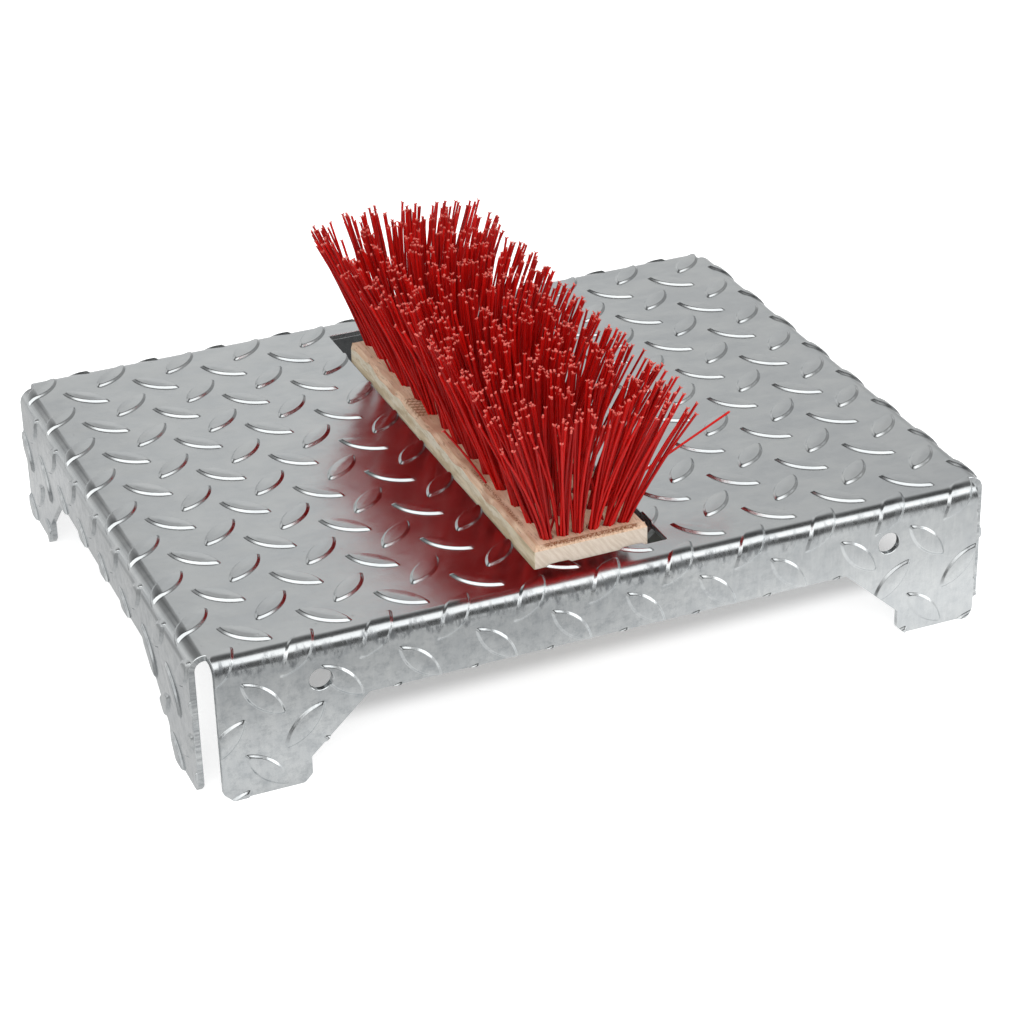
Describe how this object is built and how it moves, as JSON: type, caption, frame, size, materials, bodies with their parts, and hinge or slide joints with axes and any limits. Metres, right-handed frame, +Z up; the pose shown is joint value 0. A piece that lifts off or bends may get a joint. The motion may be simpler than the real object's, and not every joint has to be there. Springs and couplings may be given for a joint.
{
  "type": "boot scraper",
  "caption": "Boot scraper: a low platform folded from tread sheet, with an upright broom head of stiff bristles standing in a cut-out of its top.",
  "frame": {"origin": "on the ground under the middle of the platform", "axes": "+X along the platform's long side, +Y from the front skirt to the back skirt, +Z up"},
  "size_m": [0.4022, 0.3172, 0.1524],
  "materials": {
    "galvanised_sheet": "hot-dip galvanised, half bright, brighter along the bends and the tears",
    "galvanised_bar": "hot-dip galvanised, dull",
    "beech_board": "raw beech, planed, with saw burns",
    "red_bristles": "satin red filament with paler cut tips",
    "zinc_fastener": "bright zinc plated"
  },
  "bodies": {
    "root": {"tread_plate": "galvanised_sheet", "brush_board": "beech_board", "bristles_front": "red_bristles", "bristles_front_middle": "red_bristles", "bristles_back_middle": "red_bristles", "bristles_back": "red_bristles", "brush_strap_front": "galvanised_bar", "brush_strap_back": "galvanised_bar", "strap_screw_front_left": "zinc_fastener", "strap_screw_front_right": "zinc_fastener", "strap_screw_back_left": "zinc_fastener", "strap_screw_back_right": "zinc_fastener", "strap_washer_front_left": "zinc_fastener", "strap_washer_front_right": "zinc_fastener", "strap_washer_back_left": "zinc_fastener", "strap_washer_back_right": "zinc_fastener"}
  },
  "joints": []
}
